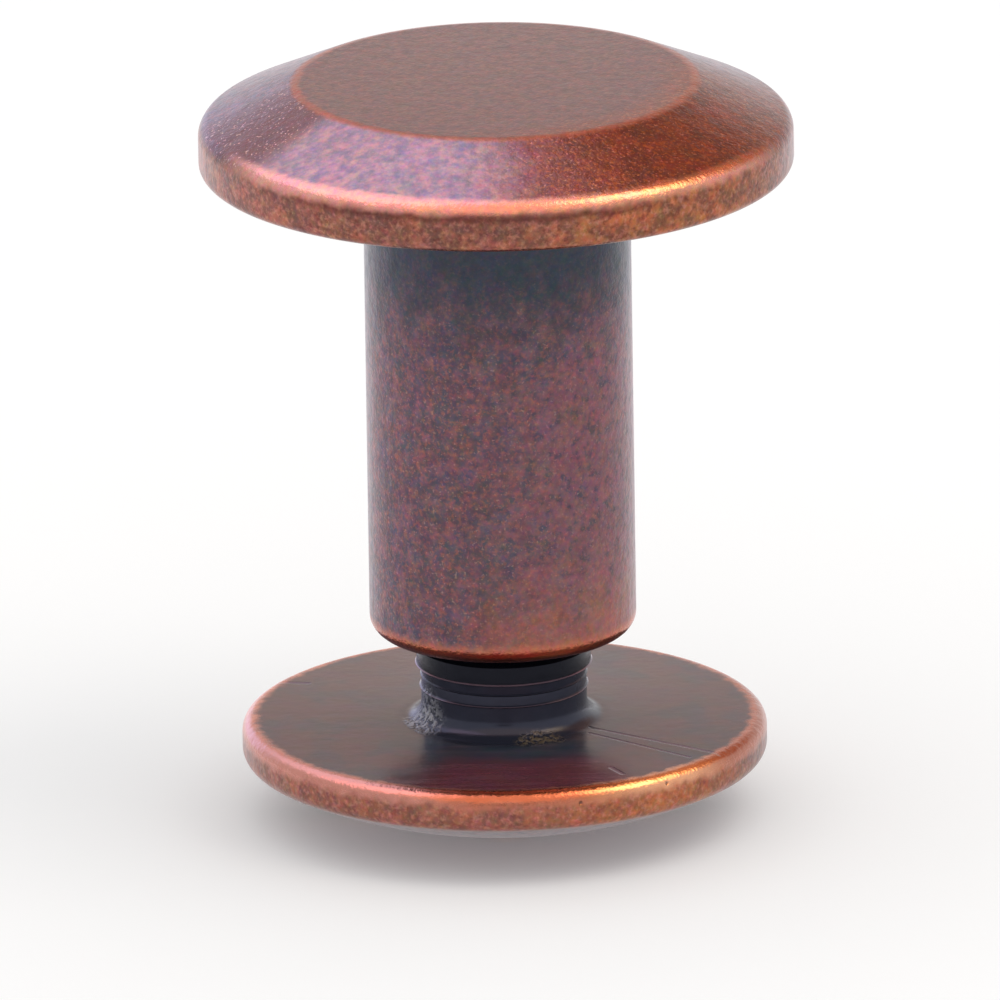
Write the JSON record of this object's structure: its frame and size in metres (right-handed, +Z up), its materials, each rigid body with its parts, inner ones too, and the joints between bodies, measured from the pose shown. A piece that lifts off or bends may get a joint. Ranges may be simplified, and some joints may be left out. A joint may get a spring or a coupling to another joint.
{
  "type": "belt screw",
  "caption": "Two-piece belt screw: a bevelled head on a tapped tubular barrel, and a slotted domed screw that threads into it to clamp leather between the heads.",
  "frame": {"origin": "on the common axis, at the surface that the slotted dome stands on", "axes": "+Z up along the axis, from the slotted dome to the flat of the bevelled head; the long driver slot runs along X"},
  "size_m": [0.0138, 0.0138, 0.0177],
  "materials": {
    "barrel_post": "antique copper plate on brass: dark brown patina, with bright copper on the rims where it has worn",
    "slotted_screw": "antique copper plate on brass, blackened in the thread, with a few scratches and a worn brassy patch on the inner face"
  },
  "bodies": {
    "screw": {"slotted_screw": "slotted_screw"},
    "post": {"barrel_post": "barrel_post"}
  },
  "joints": [
    {"name": "post_slide", "type": "slide", "parent": "screw", "child": "post", "axis": [0, 0, 1], "range_m": [-0.00159, 0.00556]}
  ]
}
